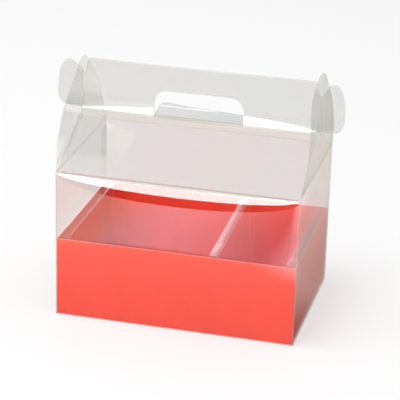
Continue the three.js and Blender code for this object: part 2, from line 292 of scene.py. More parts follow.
# Gives a sheet its thickness: the same faces again behind the first, and a strip round every open edge,
# which is one that only one face runs along. place turns two parameters into points of the outer face and
# its outward direction there
def thicken(flat, faces, rim, place, thick):
    outer, outward = place(flat[:, 0], flat[:, 1])
    count = len(flat)
    after = np.roll(faces, -1, 1)
    openEdges = np.setdiff1d(faces * count + after, after * count + faces)
    a, b = openEdges // count, openEdges % count
    strip = np.stack([b, a, a + count, b + count], 1)
    allFaces = faces.tolist() + (count + faces[:, ::-1]).tolist() + strip.tolist()
    return np.vstack([outer, outer - outward * thick]), allFaces, np.concatenate([rim, rim])


# Values from low to high whose gaps shrink towards both ends by a half wave of a cosine
def spaced(low, high, count):
    return low + (high - low) * (1 - np.cos(np.pi * np.linspace(0, 1, count))) / 2


rimRow = {"width": 0.7 * mm, "clear": 1.6}  # the row inside a cut edge, and the widths kept free beside it

# Which sides of a rectangular sheet are cut edges: low u, high u, low v and high v
cuts = {"all": (1, 1, 1, 1), "none": (0, 0, 0, 0), "ends": (1, 1, 0, 0), "foot": (0, 0, 1, 0)}


# Adds the row inside each end that is cut, and drops the values too near to it
def withRim(values, lowCut, highCut):
    low, high, width = values[0], values[-1], rimRow["width"]
    clear = rimRow["clear"] * width
    inside = (values > low + clear * lowCut) & (values < high - clear * highCut)
    kept = values[inside | (values < low + tiny) | (values > high - tiny)]
    return np.unique(np.concatenate([kept, [low + width] * lowCut, [high - width] * highCut]))


# A rectangular sheet as a grid, with a narrow row inside each cut edge
def gridSheet(us, vs, place, cut, thick=sheet):
    u, v = np.meshgrid(withRim(us, *cut[:2]), withRim(vs, *cut[2:]))
    at = np.arange(u.size).reshape(u.shape)
    faces = np.stack([at[:-1, :-1], at[:-1, 1:], at[1:, 1:], at[1:, :-1]], -1).reshape(-1, 4)
    edge = np.zeros(u.shape)
    for side, where in zip(cut, (np.s_[:, 0], np.s_[:, -1], np.s_[0, :], np.s_[-1, :])):
        if side:
            edge[where] = 1
    return thicken(np.stack([u.ravel(), v.ravel()], 1), faces, edge.ravel(), place, thick)


# A line with no two points further apart than step, keeping its own corners
def resampled(line, step):
    counts = np.maximum(1, np.ceil(np.linalg.norm(np.diff(line, axis=0), axis=1) / step)).astype(int)
    share = np.concatenate([np.arange(n) / n for n in counts])[:, None]
    run = np.repeat(line[:-1], counts, 0) * (1 - share) + np.repeat(line[1:], counts, 0) * share
    return np.vstack([run, line[-1:]])


# An outline moved to its left by a distance, along the mean direction at each point
def insetBy(outline, distance):
    along = np.roll(outline, -1, 0) - np.roll(outline, 1, 0)
    along /= np.maximum(np.linalg.norm(along, axis=1), tiny)[:, None]
    return outline + distance * np.stack([-along[:, 1], along[:, 0]], 1)


# How far each point is from the nearest of some others
def gapTo(others, points):
    return np.sqrt(((points[:, None] - others[None]) ** 2).sum(-1)).min(1)


def joined(*parts):
    return np.vstack([np.asarray(part, float).reshape(-1, 2) for part in parts])


cutting = {
    "cell": 3.2 * mm,  # gap between the points inside a sheet
    "edgeStep": 0.55,  # gap between the points along its edge, in cells
    "clear": 0.5,  # room kept free beside the edge, in cells
    "units": 1000,  # the triangulation works in millimetres
    "kind": 2,  # it fills the outline and leaves its holes free
    "weld": 1e-5,  # it joins points this near to each other
    "touch": 0.05 * mm,  # a point this near to the edge lies on it
}


# A sheet cut to an outline, with holes. The outline runs anticlockwise and its holes clockwise.
# Inside lies a plain grid of points, which a Delaunay triangulation joins to the edges
def cutSheet(outline, holes, place, isCut, cell=cutting["cell"]):
    loops = [resampled(joined(loop, loop[:1]), cutting["edgeStep"] * cell)[:-1] for loop in [outline, *holes]]
    edge = np.vstack(loops)
    row = np.vstack([insetBy(loop, rimRow["width"]) for loop in loops])
    xs, ys = (np.arange(low + cell / 2, high, cell) for low, high in zip(edge.min(0), edge.max(0)))
    grid = np.stack(np.meshgrid(xs, ys), -1).reshape(-1, 2)
    grid = grid[gapTo(row, grid) > cutting["clear"] * cell]
    sizes = [len(loop) for loop in loops]
    links = [start + np.stack([np.arange(n), np.roll(np.arange(n), -1)], 1)
             for start, n in zip(np.cumsum([0] + sizes), sizes)]
    spots = [Vector(spot) for spot in (np.vstack([edge, row, grid]) * cutting["units"]).tolist()]
    found = delaunay_2d_cdt(spots, np.vstack(links).tolist(), [], cutting["kind"], cutting["weld"])
    used, faces = np.unique(np.array(found[2]), return_inverse=True)
    flat = np.array([tuple(spot) for spot in found[0]])[used] / cutting["units"]
    onEdge = (gapTo(edge, flat) < cutting["touch"]) & isCut(flat[:, 0], flat[:, 1])
    return thicken(flat, faces.reshape(-1, 3), onEdge.astype(float), place, sheet)


# Several rectangular sheets as one mesh
def merged(parts):
    points, faces, rims = zip(*parts)
    starts = np.cumsum([0] + [len(part) for part in points[:-1]])
    moved = np.vstack([np.array(part) + start for part, start in zip(faces, starts)])
    return np.vstack(points), moved.tolist(), np.concatenate(rims)


# Points on an arc round a middle, from one angle to another in degrees
def arc(middle, radius, start, end, count):
    turn = np.radians(np.linspace(start, end, count))
    return np.stack([middle[0] + radius * np.cos(turn), middle[1] + radius * np.sin(turn)], 1)


# Points on a cubic Bezier curve through its four handles
def bezier(a, b, c, d, count=14):
    t = np.linspace(0, 1, count)[:, None]
    a, b, c, d = (np.asarray(p, float) for p in (a, b, c, d))
    return a * (1 - t) ** 3 + 3 * b * t * (1 - t) ** 2 + 3 * c * t ** 2 * (1 - t) + d * t ** 3


# The rounded top of the hand hole or of its flap, from the left side over to the right one
def roundedTop(half, height, radius, count=10):
    return joined(arc((radius - half, height - radius), radius, 180, 90, count),
                  arc((half - radius, height - radius), radius, 90, 0, count))


# A smooth step from 0 at low to 1 at high; low may be the greater of the two
def smooth(value, low, high):
    t = np.clip((value - low) / (high - low), 0, 1)
    return t * t * (3 - 2 * t)


wallBow = {
    "reach": 3.45 * mm,  # how far the wall stands out of its plane at most
    "peak": 20.0 * mm,  # from the crease down to there
    "steps": 400,
    "hollow": 0.8,  # steepness added right at the crease
    "hollowDepth": 1.3 * mm,
    "brow": 0.235,  # steepness under the crease, falling to the next value
    "browEnd": 0.045,
    "browFade": 8,  # that value itself runs out over the last eighth before the peak
    "browBend": 1.5,
    "fold": 0.15,  # a faint fold runs along the bow
    "foldDown": 6.3 * mm,
    "foldWidth": 0.5 * mm,
}


# How far a wall stands out under its top crease. Its steepness is an exponential next to the crease, plus a
# power curve that falls towards the peak, plus a narrow bell for the faint fold, all summed from the crease
# down. Below the peak a cosine brings the wall back to its plane at its foot.
# Both the reach and the peak's depth follow the half circle over the wall's length
def bowOut(x, down):
    look = wallBow
    s = np.linspace(0, look["peak"], look["steps"])
    share = 1 - s / look["peak"]
    steep = look["hollow"] * np.exp(-s / look["hollowDepth"])
    steep = steep + look["browEnd"] * np.minimum(1, share * look["browFade"])
    steep = steep + (look["brow"] - look["browEnd"]) * share ** look["browBend"]
    steep = steep + look["fold"] * np.exp(-((s - look["foldDown"]) / look["foldWidth"]) ** 2)
    out = np.concatenate([[0], np.cumsum((steep[1:] + steep[:-1]) / 2 * np.diff(s))])
    circle = np.sqrt(np.maximum(tiny, 1 - (x / halfWidth) ** 2))
    t = down / circle
    peak = look["peak"] * circle
    back = np.clip((down - peak) / (wallTop - peak), 0, 1)
    rise = np.interp(np.minimum(t, look["peak"]), s, out / out[-1])
    return look["reach"] * circle * np.where(t < look["peak"], rise, (1 + np.cos(np.pi * back)) / 2)


creaseHalf = 1.2 * mm  # a crease strip reaches this far to each side
hair = 0.02 * mm  # left between a strip and its panel


# The outer face of a bowed wall at x and height z; facing is -1 for the front wall and 1 for the back one
def bowedWall(facing):
    def place(x, z):
        y = facing * (topCrease + bowOut(x, wallTop - z))
        return np.stack([x * -facing, y, z], 1), pointing((0, facing, 0), x)
    return place


sideDent = {"depth": 0.35 * mm, "swing": 2.2}


# The outer face of a side wall, which falls in a little: by a sine up the wall and a cosine along it
def dentedWall(side):
    def place(y, z):
        dent = sideDent["depth"] * np.sin(np.pi * z / wallTop) * np.cos(y / topCrease * sideDent["swing"])
        x = side * (halfWidth - np.maximum(dent, 0))
        return np.stack([x, side * y, z], 1), pointing((side, 0, 0), y)
    return place


wallGrid = {
    "columns": 61, "rows": 14, "fineRows": 34, "sideGrid": 24,
    "low": (0, 78 * mm), "middle": (81 * mm, 112 * mm), "fine": 25 * mm,  # the fine rows reach this far down
}


def addWalls():
    top = creaseHalf + hair
    fineRows = np.concatenate([np.linspace(*wallGrid["low"], wallGrid["rows"]),
                               np.linspace(*wallGrid["middle"], wallGrid["rows"]),
                               wallTop - np.linspace(wallGrid["fine"], top, wallGrid["fineRows"])])
    rows = np.linspace(0, wallTop - top, wallGrid["sideGrid"])
    for name, place, side, material in (("front_wall", bowedWall(-1), False, clearSheet),
                                        ("back_wall", bowedWall(1), False, clearSheet),
                                        ("left_wall", dentedWall(-1), True, leftPanel),
                                        ("right_wall", dentedWall(1), True, clearSheet)):
        low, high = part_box(name)
        columns = spaced(-halfWidth, halfWidth, wallGrid["columns"])
        if side:
            columns = np.linspace(low.y, high.y, wallGrid["sideGrid"])
        made = gridSheet(columns, rows if side else fineRows, place, cuts["foot"])
        piece = addPiece(name + "_sheet", made, material)
        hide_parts(name)
        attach(piece, "sleeve")


handleBow = {
    "reach": 1.95 * mm,  # how far the foot of a handle panel stands out in the middle
    "height": 10.4 * mm,  # from its crease up to where the panel is flat
    "bend": 1.6,
    "left": (0.18, 0.95),  # share of the reach at the left end, and how fast it grows from there
    "least": 0.05,
}
bendHeight = 11.0 * mm  # the strip at the foot of the handle, which bends when the handle folds
footStrip = 1.0 * mm  # the strip at the top of a roof panel, which follows the handle's foot


# How far a handle panel's foot stands out: a power curve that falls above the crease. Along the crease it
# follows a half circle to the right of the middle, and on the left it runs out nearly straight
def footOut(x, up):
    u = np.minimum(1, np.abs(x / handleHalf))
    end, grow = handleBow["left"]
    share = np.where(x > 0, np.sqrt(1 - u ** 2), np.minimum(1, end + grow * (1 - u)))
    t = np.clip(up / (handleBow["height"] * np.maximum(share, handleBow["least"])), 0, 1)
    return handleBow["reach"] * share * (1 - t) ** handleBow["bend"]


# A handle panel at x and height above its crease. Where its foot stands out it follows the roof's slope down,
# by a drop that fades evenly with the height
def handleSheet(facing):
    def place(x, up):
        drop = footOut(x, 0 * up) * math.tan(roofSlope) * np.clip(1 - up / handleBow["height"], 0, 1)
        y = facing * (handleIn + footOut(x, up))
        return np.stack([x * -facing, y, handleFoot + up - drop], 1), pointing((0, facing, 0), x)
    return place


roofBelly = 0.5 * mm  # how far a roof panel stands out in its middle, by a sine each way


# A roof panel at x and a share of the way from the wall's crease to the handle's crease
def roofSheet(facing):
    def place(x, share):
        length = roofLength - footOut(x, 0 * x) / slopeCos
        start, end = creaseHalf + hair, length - footStrip
        t = start + (end - start) * share
        belly = roofBelly * np.sin(np.pi * share) * np.cos(np.pi / 2 * x / halfWidth)
        y = topCrease - t * slopeCos + belly * slopeSin
        z = wallTop + t * slopeSin + belly * slopeCos
        return np.stack([x * -facing, facing * y, z], 1), pointing((0, facing * slopeSin, slopeCos), x)
    return place


hole = {"half": 41.5 * mm, "height": 24 * mm, "radius": 12 * mm}
ear = {
    "reach": 22 * mm,  # past the side wall
    "bottom": 1.5 * mm,
    "top": {"left": 44.3 * mm, "right": 45.6 * mm},
    "foot": 9 * mm,  # size of its lower corner
    "footCurve": (0.4, 0.6, 1.4),  # two pulls and the end of that corner's curve, in its size
    "crown": 10.5 * mm,  # from the tip in to the highest point
    "crownPulls": (16 * mm, 2 * mm, 4.5 * mm),  # down at the tip, in from the tip, and in past the crown
    "notchPulls": (4 * mm, 6 * mm),  # out from the notch, and down from the crown
}
handle = {
    "height": 47 * mm,
    "notch": 33.7 * mm,  # where the ear's curve ends, beside the fin's slot
    "notchStep": 1.2 * mm,
    "notchX": {"left": 107.3 * mm, "right": 110.5 * mm},
    "topX": {"left": 103.8 * mm, "right": 105.3 * mm},
}


# One end of a handle panel's outline, from the hand hole round the ear to the panel's top corner
def handleEnd(side):
    low, high, foot = ear["bottom"], ear["top"][side], ear["foot"]
    tip = halfWidth + ear["reach"]
    crown = tip - ear["crown"]
    notch, notchX = handle["notch"], handle["notchX"][side]
    out, up, rise = (share * foot for share in ear["footCurve"])
    tipDown, tipIn, crownIn = ear["crownPulls"]
    notchOut, crownDown = ear["notchPulls"]
    return joined(
        [[hole["half"], bendHeight], [handleHalf, bendHeight], [handleHalf, low]],
        bezier((tip - foot, low), (tip - out, low), (tip, low + up), (tip, low + rise)),
        bezier((tip, low + rise), (tip, high - tipDown), (tip - tipIn, high), (crown, high))[1:],
        bezier((crown, high), (crown - crownIn, high), (notchX + notchOut, high - crownDown),
               (notchX, notch))[1:],
        [[notchX - handle["notchStep"], notch], [handle["topX"][side], handle["height"]]])


# Outline of a handle panel with both ears, above the strip at its foot, as its outer face is seen
def handleOutline(facing):
    first, last = ("right", "left") if facing < 0 else ("left", "right")
    top = roundedTop(hole["half"], hole["height"], hole["radius"])
    return joined(handleEnd(first), handleEnd(last)[::-1] * [-1, 1], top)


topGrid = {"columns": 45, "roofRows": 32}
edgeMargin = 0.1 * mm  # an outline's edge past its straight foot by this much is a cut edge


def addTopHalves():
    for facing, side in ((-1, "front"), (1, "back")):
        columns = spaced(-handleHalf, handleHalf, topGrid["columns"])
        made = gridSheet(columns, np.linspace(0, 1, topGrid["roofRows"]), roofSheet(facing), cuts["ends"])
        roof = addPiece(side + "_roof_sheet", made, roofPanel)
        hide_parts(side + "_roof")
        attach(roof, side + "_top")

        def isCut(x, up):
            return (up > bendHeight + edgeMargin) | (np.abs(x) > handleHalf + edgeMargin)
        made = cutSheet(handleOutline(facing), [], handleSheet(facing), isCut)
        grip = addPiece(side + "_handle_sheet", made, clearSheet)
        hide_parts(side + "_handle", side + "_left_ear", side + "_right_ear")
        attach(grip, side + "_handle")


crease = {
    "columns": 41, "rows": 9, "footColumns": 24, "footRows": 22, "stripRows": 3,
    "finColumns": 21, "finRows": 7,
    # how dark the score is painted, with painted shade, and over how many rows to each side of the middle one
    "scoreShade": {"front": (1.0, 2), "back": (0.4, 1), "fin": (0.45, 1)},
}


# Marks the middle rows of a crease strip, where the sheet is scored, with a rim share that paints them darker
# as shade
def scored(made, columns, kind):
    points, faces, edge = made
    depth, half = crease["scoreShade"][kind]
    rows = edge.reshape(2, -1, columns)
    middle = rows.shape[1] // 2
    rows[:, middle - half:middle + half + 1] = depth
    return points, faces, rows.ravel()


# The strip over a top crease, at x and at v from -1 to 1. It follows the wall below the crease and the
# roof's slope above, and its direction turns evenly from the one's to the other's
def overTop(facing):
    wall = bowedWall(facing)

    def place(x, v):
        below, _ = wall(x, wallTop - creaseHalf * np.clip(-v, 0, 1))
        reach = creaseHalf * np.clip(v, 0, 1)
        y, z = facing * (topCrease - reach * slopeCos), wallTop + reach * slopeSin
        angle = (np.pi / 2 - roofSlope) * np.clip((v + 1) / 2, 0, 1)
        outward = np.stack([0 * x, facing * np.cos(angle), np.sin(angle)], 1)
        return np.where((v < 0)[:, None], below, np.stack([x * -facing, y, z], 1)), outward
    return place


# The strip at the top of a roof panel, at x and at v from 0 at its lower edge to 1 at the handle's foot
def underFoot(facing):
    foot = handleSheet(facing)

    def place(x, v):
        ends, _ = foot(x, 0 * v)
        down = pointing((0, facing * slopeCos, -slopeSin), x)
        return ends + down * ((1 - v) * footStrip)[:, None], pointing((0, facing * slopeSin, slopeCos), x)
    return place


# Strips that lie over the creases where a panel meets the next one
def addCreases():
    footRows = np.linspace(0, bendHeight - hair, crease["footRows"])
    for facing, side in ((-1, "front"), (1, "back")):
        columns = spaced(-handleHalf, handleHalf, crease["columns"])
        made = gridSheet(columns, np.linspace(-1, 1, crease["rows"]), overTop(facing), cuts["none"])
        made = scored(made, crease["columns"], side)
        strip = addPiece(side + "_top_crease", made, creaseSheet)
        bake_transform(strip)

        # The foot of the handle, on both sides of the hand hole
        feet = [spaced(*ends, crease["footColumns"])
                for ends in ((-handleHalf, -hole["half"]), (hole["half"], handleHalf))]
        made = merged([gridSheet(foot, footRows, handleSheet(facing), cuts["ends"]) for foot in feet])
        strip = addPiece(side + "_handle_foot", made, clearSheet)
        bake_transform(strip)

        columns = spaced(-handleHalf, handleHalf, topGrid["columns"])
        made = gridSheet(columns, np.linspace(0, 1, crease["stripRows"]), underFoot(facing), cuts["none"])
        strip = addPiece(side + "_handle_crease", made, creaseSheet)
        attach(strip, side + "_top")


fin = {
    "end": 0.55 * mm,  # left free at each end of its crease
    "inset": 18 * mm, "shoulder": 34 * mm,
    "haunch": (18 * mm, 14 * mm, 12 * mm),  # pulls up from the shoulder, and out and down from the crown
    "crownDrop": 9.5 * mm,
    "crownHalf": {"left": 17 * mm, "right": 25 * mm},
    "crownCurve": (0.7, 0.67),  # its first pull, in its half width and its drop
    "height": {"left": 84.5 * mm, "right": 90 * mm},
    "slotHalf": 2.25 * mm, "slotTop": 70 * mm, "slotHeight": 45 * mm,
    "lean": 1.0 * mm,  # the left fin leans in by this much where the ears hang
    "flare": 0.045,  # and its front half opens outwards by this share of its depth
    "flareRise": 30 * mm,  # all of it from this height
    "bulge": 2.6 * mm,  # the right fin stands out by this much half way up to there
    "tuck": 2.0 * mm,  # the front of its crown bends back in
    "tuckRise": (36 * mm, 96 * mm), "tuckAlong": (10 * mm, -34 * mm),
    "bead": 0.12 * mm,  # the middle of its crease stands out by this much
}


# Outline of a fin, as its outer face is seen: half of it with a haunch and a crown, and its mirror image
def finOutline(side):
    edge = topCrease - fin["end"]
    height, half = fin["height"][side], fin["crownHalf"][side]
    shoulder, rise = edge - fin["inset"], fin["shoulder"]
    crown = height - fin["crownDrop"]
    up, out, down = fin["haunch"]
    wide, tall = fin["crownCurve"]
    haunch = bezier((shoulder, rise), (shoulder - fin["inset"] / 3, rise + up), (half + out, crown - down),
                    (half, crown))
    top = bezier((half, crown), (wide * half, crown + tall * fin["crownDrop"]), (half / 3, height),
                 (0, height))
    right = joined([[edge, creaseHalf + hair]], haunch, top[1:])
    return joined(right, right[-2::-1] * [-1, 1])


# How far a fin stands out of its wall's plane, at y and a height above the crease. The left fin leans in with
# the height, and its front half opens outwards from the slot. The right fin bulges by a sine's arch, and the
# front of its crown bends in smoothly
def finOut(side, y, up):
    share = np.clip(up / fin["slotTop"], 0, 1)
    if side == "left":
        return fin["flare"] * np.maximum(0, -y) * smooth(up, 0, fin["flareRise"]) - fin["lean"] * share ** 2
    tuck = fin["tuck"] * smooth(up, *fin["tuckRise"]) * smooth(y, *fin["tuckAlong"])
    return fin["bulge"] * np.sin(np.pi * share) - tuck


# The outer face of a fin at y and a height above its crease
def standingFin(sign, side):
    def place(y, up):
        x = sign * (halfWidth + finOut(side, sign * y, up))
        return np.stack([x, sign * y, wallTop + up], 1), pointing((sign, 0, 0), y)
    return place


# The strip over a fin's crease, v from -1 to 1, which stands out in the middle by a cosine
def overFinCrease(sign, side):
    def place(y, v):
        points, outward = standingFin(sign, side)(y, v * creaseHalf)
        points[:, 0] += sign * fin["bead"] * (np.cos(np.pi * v) - 1) / 2
        return points, outward
    return place


def addFins():
    slot = np.array([[-1, 0], [-1, 1], [1, 1], [1, 0]]) * [fin["slotHalf"], fin["slotHeight"]]
    slot = slot + [0, fin["slotTop"] - fin["slotHeight"]]
    end = topCrease - fin["end"]
    for sign, side in ((-1, "left"), (1, "right")):
        made = cutSheet(finOutline(side), [slot], standingFin(sign, side),
                        lambda y, up: up > creaseHalf + edgeMargin)
        piece = addPiece(side + "_fin_sheet", made, finPanel)
        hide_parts(side + "_fin")
        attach(piece, side + "_fin")

        columns, rows = np.linspace(-end, end, crease["finColumns"]), np.linspace(-1, 1, crease["finRows"])
        made = gridSheet(columns, rows, overFinCrease(sign, side), cuts["none"])
        made = scored(made, crease["finColumns"], "fin")
        strip = addPiece(side + "_fin_crease", made, creaseSheet)
        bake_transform(strip)


flap = {
    "gap": 0.4 * mm,  # left free inside the hand hole
    "base": math.radians(6),  # its rise next to the crease
    "middle": math.radians(11),
    "tip": math.radians(19),
    "bends": ((0.06, 0.26), (0.78, 0.93)),  # where its rise changes, in its length
    "twist": 0.5,  # it rises more at its left end than at its right
    "radius": 6 * mm,
    "cell": 1.3 * mm,  # gap between the points inside it
    "steps": 200,
}


# The finger flap: its outline is the hand hole's and its base lies on the roof's crease. Along its length its
# rise goes by smooth steps from the base's to the middle's to the tip's, and is summed up from the crease
def addHandFlap():
    half, length = hole["half"] - flap["gap"], hole["height"] - flap["gap"]
    outline = joined([[half, 0]], roundedTop(half, length, flap["radius"])[::-1], [[-half, 0]])
    along = np.linspace(0, length, flap["steps"])
    first, second = (smooth(along, low * length, high * length) for low, high in flap["bends"])
    rise = flap["base"] + (flap["middle"] - flap["base"]) * first + (flap["tip"] - flap["middle"]) * second
    back = np.concatenate([[0], np.cumsum(np.cos(rise[1:]) * along[1])])
    high = np.concatenate([[0], np.cumsum(np.sin(rise[1:]) * along[1])])

    def place(x, v):
        out = footOut(x, 0 * v)
        more = 1 - flap["twist"] * x / half
        tilt = np.interp(v, along, rise) * more
        y = np.interp(v, along, back) - handleIn - out
        z = np.interp(v, along, high) * more + handleFoot - out * math.tan(roofSlope)
        return np.stack([x, y, z], 1), np.stack([0 * x, -np.sin(tilt), np.cos(tilt)], 1)
    made = cutSheet(outline, [], place, lambda x, v: v > edgeMargin, flap["cell"])
    piece = addPiece("hand_flap_sheet", made, flapSheet)
    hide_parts("hand_flap")
    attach(piece, "hand_flap")


cornerFold = {
    "radius": 0.55 * mm, "thick": 0.25 * mm, "columns": 6, "rows": 12,
    "below": 0.6 * mm,  # it ends this far below the wall's top
    # how dark each corner's fold is painted, as painted shade along the corner
    "scoreShade": {"front_left": 0.7, "front_right": 1.0, "back_left": 0.15, "back_right": 0.1},
}


# A quarter circle carried up a corner. It is run backwards at two of the corners, so that its faces
# point outwards there too
def upCorner(signX, signY):
    r = cornerFold["radius"]

    def place(turn, z):
        turn = turn if signX * signY > 0 else np.pi / 2 - turn
        x = signX * (halfWidth - r + r * np.cos(turn))
        y = signY * (topCrease - r + r * np.sin(turn))
        outward = np.stack([signX * np.cos(turn), signY * np.sin(turn), 0 * z], 1)
        return np.stack([x, y, z], 1), outward
    return place


# A rounded fold at each upright corner of the sleeve
def addCornerFolds():
    turns = np.linspace(0, np.pi / 2, cornerFold["columns"])
    rows = np.linspace(0, wallTop - cornerFold["below"], cornerFold["rows"])
    for signX, side in ((-1, "_left"), (1, "_right")):
        for signY, end in ((-1, "front"), (1, "back")):
            made = gridSheet(turns, rows, upCorner(signX, signY), cuts["none"], cornerFold["thick"])
            # the whole fold takes its corner's painted shade
            made[2][:] = cornerFold["scoreShade"][end + side]
            piece = addPiece(end + side + "_fold", made, creaseSheet)
            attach(piece, "sleeve")


# Profile of a board's section: a rectangle with rounded long edges, run round once
def roundedSection(thick, high, radius, count=4):
    corners = [(radius, radius, 180, 270), (thick - radius, radius, 270, 360),
               (thick - radius, high - radius, 0, 90), (radius, high - radius, 90, 180)]
    return joined(*[arc((x, y), radius, start, end, count) for x, y, start, end in corners])


card = {
    "bow": 0.35 * mm,  # how far a board stands in at the middle of its top
    "edge": 0.28 * mm,  # radius of its long edges
    "sink": 1.9 * mm,  # its foot is this much lower than its solid's
    "grow": 0.45 * mm,  # and the tray this much fuller on each side
    "columns": 28,
    "endColumn": 0.3 * mm,
    "rim": 0.9,  # the pale rim reaches this far down its rounded edge
}


# The tray's walls, each a board with rounded edges carried along its length. It stands in by a parabola along
# its length and a sine up its height
def addTray():
    for name, axis, sign in (("tray_front_wall", 0, -1), ("tray_back_wall", 0, 1),
                             ("tray_left_wall", 1, -1), ("tray_right_wall", 1, 1)):
        low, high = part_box(name)
        across = 1 - axis
        bottom = low.z - card["sink"]
        height = high.z - bottom
        section = roundedSection(high[across] - low[across], height, card["edge"])
        start, end = low[axis] - card["grow"], high[axis] + card["grow"]
        inner = np.linspace(start + card["endColumn"], end - card["endColumn"], card["columns"])
        u, k = np.meshgrid(np.concatenate([[start], inner, [end]]), np.arange(len(section)), indexing="ij")
        depth, z = section[k, 0], section[k, 1]
        middle, half = (start + end) / 2, (end - start) / 2
        bow = card["bow"] * (1 - ((u - middle) / half) ** 2) * np.sin(np.pi / 2 * z / height)
        points = np.zeros(u.shape + (3,))
        points[..., axis] = u
        points[..., across] = (low if sign < 0 else high)[across] + sign * (card["grow"] - bow - depth)
        points[..., 2] = bottom + z
        at = np.arange(u.size).reshape(u.shape)
        after = np.roll(at, -1, 1)
        faces = np.stack([at[:-1], after[:-1], after[1:], at[1:]], -1).reshape(-1, 4).tolist()
        faces += [at[0][::-1].tolist(), at[-1].tolist()]
        if (sign > 0) != (axis == 1):
            faces = [face[::-1] for face in faces]
        edge = (z > height - card["rim"] * card["edge"]).ravel().astype(float)
        made = points.reshape(-1, 3), faces, edge
        piece = addPiece(name.replace("_wall", "_board"), made, coralCard)
        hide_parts(name)
        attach(piece, "tray")


insert = {
    "thick": 0.4 * mm,
    "fold": 0.5 * mm,  # a fold's curve starts this far before its corner
    "foldSteps": 6,
    "step": 4 * mm,  # greatest gap between two points of its profile
    "rows": 26,
    "skew": -3.5 * mm,  # the divider's top runs aside by this much towards the back
    "lean": 0.25 * mm,  # each side of a ridge leans in by this much
    "wider": 0.5 * mm,  # the divider stands out past its solid on both sides
    "forward": 4.0 * mm,  # and the whole insert past its solids at the front
    "margin": 1 * mm,
    "skewed": (6 * mm, 2 * mm),  # from the divider this far left and right, points follow its skew
    "foldShine": 0.75,
    "shineReach": 0.8,  # in folds
}


# Each corner but the end ones gives way to a quadratic curve, from a fold's length before it to one after it
def foldedLine(corners):
    run = [corners[0]]
    t = np.linspace(0, 1, insert["foldSteps"])[:, None]
    for before, corner, after in zip(corners[:-2], corners[1:-1], corners[2:]):
        a, b = (corner + (other - corner) / np.linalg.norm(other - corner) * insert["fold"]
                for other in (before, after))
        run.append(a * (1 - t) ** 2 + 2 * corner * t * (1 - t) + b * t ** 2)
    return resampled(joined(*run, corners[-1]), insert["step"])


# The folded insert as one sheet: a profile across the tray, with rounded folds, carried front to back
def addInsert():
    leftLow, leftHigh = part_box("insert_left_ridge")
    midLow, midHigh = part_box("insert_divider")
    rightLow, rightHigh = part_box("insert_right_ridge")
    bottom, top = leftLow.z, leftHigh.z
    front, back = leftLow.y - insert["forward"], leftHigh.y
    lean, margin = insert["lean"], insert["margin"]
    ridges = ((leftLow.x, leftHigh.x), (midLow.x - insert["wider"], midHigh.x + insert["wider"]),
              (rightLow.x, rightHigh.x))
    corners = joined(*[[[low, bottom], [low + lean, top], [high - lean, top], [high, bottom]]
                       for low, high in ridges])
    profile = foldedLine(corners)
    step = np.gradient(profile, axis=0)
    step /= np.linalg.norm(step, axis=1)[:, None]
    distance = np.concatenate([[0], np.cumsum(np.linalg.norm(np.diff(profile, axis=0), axis=1))])
    divider = (profile[:, 0] > midLow.x - margin) & (profile[:, 0] < midHigh.x + margin)
    shift = np.where(divider, insert["skew"], 0) * np.clip((profile[:, 1] - bottom) / (top - bottom), 0, 1)

    def place(s, y):
        x, z, aside, dx, dz = (np.interp(s, distance, values) for values in (*profile.T, shift, *step.T))
        x = x + aside * np.clip((y - front) / (back - front), 0, 1)
        size = np.hypot(dx, dz)
        return np.stack([x, y, z], 1), np.stack([-dz / size, 0 * y, dx / size], 1)
    rows = np.linspace(front, back, insert["rows"])
    points, faces, edge = gridSheet(distance, rows, place, cuts["all"], insert["thick"])

    # The upper folds get the pale film of a cut edge: painted highlight lines along them
    left, right = insert["skewed"]
    upper = corners[1:-1][corners[1:-1, 1] > bottom + margin]
    x, y, z = points.T
    aside = insert["skew"] * np.clip((y - front) / (back - front), 0, 1)
    unskewed = x - np.where((x > midLow.x - left) & (x < midHigh.x + right), aside, 0)
    shining = gapTo(upper, np.stack([unskewed, z], 1)) < insert["shineReach"] * insert["fold"]
    made = points, faces, np.maximum(edge, insert["foldShine"] * shining)
    piece = addPiece("insert_folded_sheet", made, foldedSheet)
    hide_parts("insert_left_ridge", "insert_left_floor", "insert_divider", "insert_right_floor",
                "insert_right_ridge")
    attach(piece, "insert")


# The pieces whose plain solids already have the right shape
def dressNodes():
    finishes = {"bottom_": clearSheet, "glue_flap": clearSheet, "tray_": coralCard}
    for name, node in frame["nodes"].items():
        for start, material in finishes.items():
            if name.startswith(start) and not node.hide_render:
                node.data.materials.clear()
                node.data.materials.append(material)


addWalls()
addTopHalves()
addCreases()
addFins()
addHandFlap()
addCornerFolds()
print("clear sheets made")
addTray()
addInsert()
dressNodes()
print("tray and insert made")

# What the gloss of the sheets shows of the studio. A pair gives where something starts and where it is full,
# in metres along x, y or z
roomLight = 0.08
roomFar = 4.0
paper = {
    "light": 0.52, "edge": (0.435, 0.405), "height": -0.0004,
    "pool": {"light": 1.9, "middle": -0.070, "half": 0.11, "near": (-0.210, -0.226)},
    "corner": {"share": 1.1, "slant": 0.3, "from": -0.26, "across": (0.055, 0.105),
               "near": (-0.185, -0.250), "far": (-0.47, -0.40)},
    "table": {"light": 1.03, "from": (-0.02, 0.10)},
    "band": {"light": 0.67, "before": (0.335, 0.315), "beyond": (0.50, 0.55), "beyondLeft": (0.095, 0.08),
             "dim": 0.8, "dimFrom": (0.58, 0.61),
             "rightDim": 0.7, "rightFrom": (0.050, 0.080), "rightUpTo": (0.50, 0.45)},
    "shadow": {"from": (0.107, 0.113), "near": (-0.10, -0.07), "light": 0.10,
               "behind": (0.25, (-0.06, 0.06)),
               "right": (0.14, (0.120, 0.150)), "farRight": (0.19, (0.158, 0.176)),
               "end": (0.27, 0.33), "endShare": 0.85},
}
